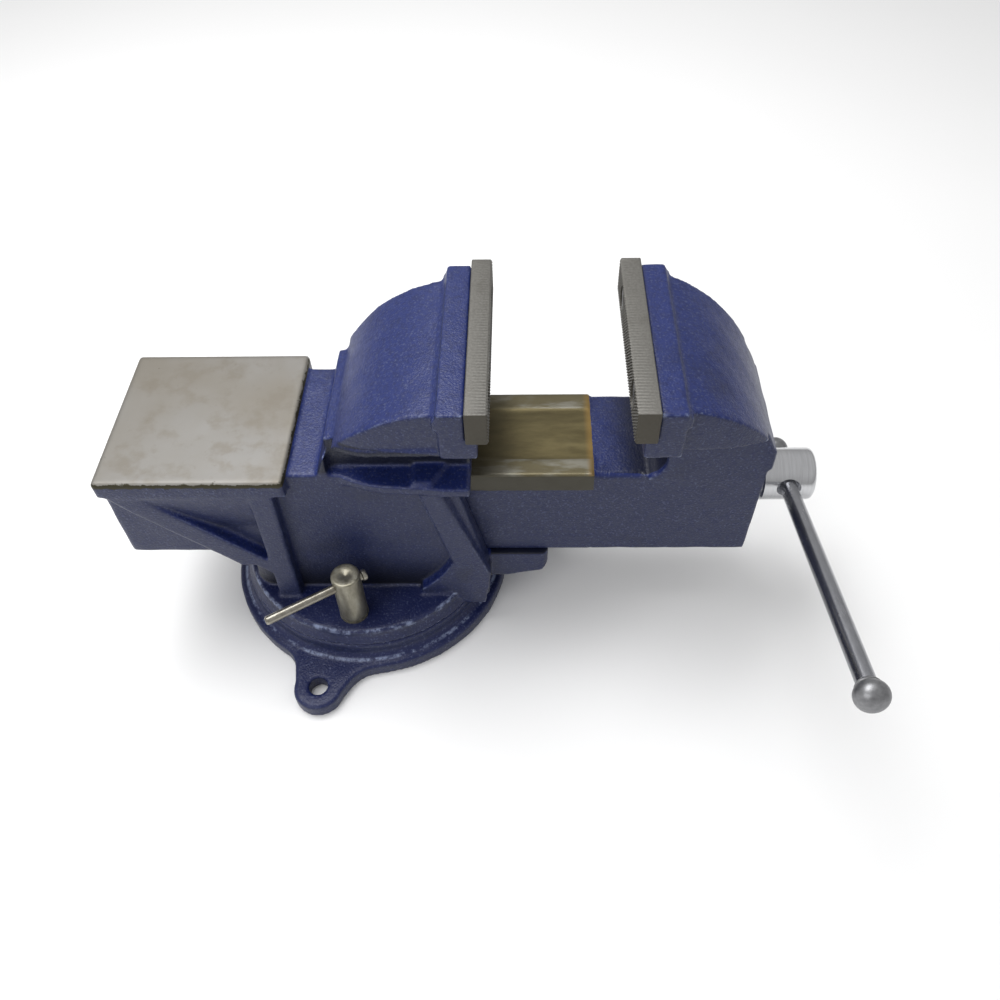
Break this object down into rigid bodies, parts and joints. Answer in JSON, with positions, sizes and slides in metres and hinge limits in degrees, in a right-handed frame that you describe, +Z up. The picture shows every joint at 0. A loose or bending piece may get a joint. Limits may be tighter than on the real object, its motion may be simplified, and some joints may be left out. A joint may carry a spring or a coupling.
{
  "type": "bench vise",
  "caption": "Swivel-base bench vise with a flat anvil, rounded jaws faced with steel plates, and a sliding bar handle on the lead screw.",
  "frame": {"origin": "centre of the swivel base on its underside, on the swivel axis", "axes": "+X along the lead screw from the anvil to the handle, +Y to the rear lock, +Z up"},
  "size_m": [0.4986, 0.3291, 0.245],
  "materials": {
    "blue_enamel": "hammered blue enamel over grey cast iron",
    "ground_steel": "surface-ground hardened steel",
    "black_steel": "black oxide",
    "bright_steel": "turned and polished",
    "plain_steel": "plain steel, lightly oiled",
    "cast_iron": "machined cast iron",
    "handle_steel": "dark nickel-plated steel",
    "lock_steel": "zinc-plated steel with a yellow cast"
  },
  "bodies": {
    "base": {"swivel_base": "blue_enamel"},
    "body": {"fixed_body": "blue_enamel", "fixed_jaw_plate": "ground_steel", "fixed_plate_screws": "black_steel", "screw_nut": "cast_iron", "nut_bolt": "plain_steel", "nut_bolt_washer": "plain_steel", "clamp_bolts": "plain_steel", "clamp_washers": "plain_steel"},
    "jaw": {"movable_jaw": "blue_enamel", "movable_jaw_plate": "ground_steel", "movable_plate_screws": "black_steel", "screw_spring": "plain_steel"},
    "screw": {"lead_screw": "bright_steel", "thrust_washer": "bright_steel", "retaining_washer": "plain_steel", "split_pin": "plain_steel"},
    "handle": {"handle_bar": "handle_steel", "handle_knob_near": "handle_steel", "handle_knob_far": "handle_steel"},
    "front_lock": {"front_lock_nut": "lock_steel"},
    "front_bar": {"front_lock_bar": "lock_steel"},
    "rear_lock": {"rear_lock_nut": "lock_steel"},
    "rear_bar": {"rear_lock_bar": "lock_steel"}
  },
  "joints": [
    {"name": "base_swivel", "type": "hinge", "parent": "base", "child": "body", "pos_m": [0, 0, 0], "axis": [0, 0, 1], "continuous": true},
    {"name": "jaw_slide", "type": "slide", "parent": "body", "child": "jaw", "axis": [1, 0, 0], "range_m": [-0.0867, 0.0632]},
    {"name": "screw_turn", "type": "hinge", "parent": "jaw", "child": "screw", "pos_m": [0.3172, 0, 0.107], "axis": [1, 0, 0], "range_deg": [-5200, 3790]},
    {"name": "handle_slide", "type": "slide", "parent": "screw", "child": "handle", "axis": [0, 0.9724, -0.2334], "range_m": [-0.0022, 0.184]},
    {"name": "front_lock_turn", "type": "hinge", "parent": "body", "child": "front_lock", "pos_m": [-0.003, -0.07804, 0.0785], "axis": [0, 0, 1], "range_deg": [-30, 150]},
    {"name": "front_bar_slide", "type": "slide", "parent": "front_lock", "child": "front_bar", "axis": [0.8526, 0.5225, 0], "range_m": [-0.0008, 0.02]},
    {"name": "rear_lock_turn", "type": "hinge", "parent": "body", "child": "rear_lock", "pos_m": [-0.003, 0.07804, 0.0785], "axis": [0, 0, -1], "range_deg": [-30, 150]},
    {"name": "rear_bar_slide", "type": "slide", "parent": "rear_lock", "child": "rear_bar", "axis": [0.8526, -0.5225, 0], "range_m": [-0.0008, 0.02]}
  ],
  "couplings": [
    {"joint": "jaw_slide", "follows": "screw_turn", "m_per_rad": 0.00095493}
  ]
}
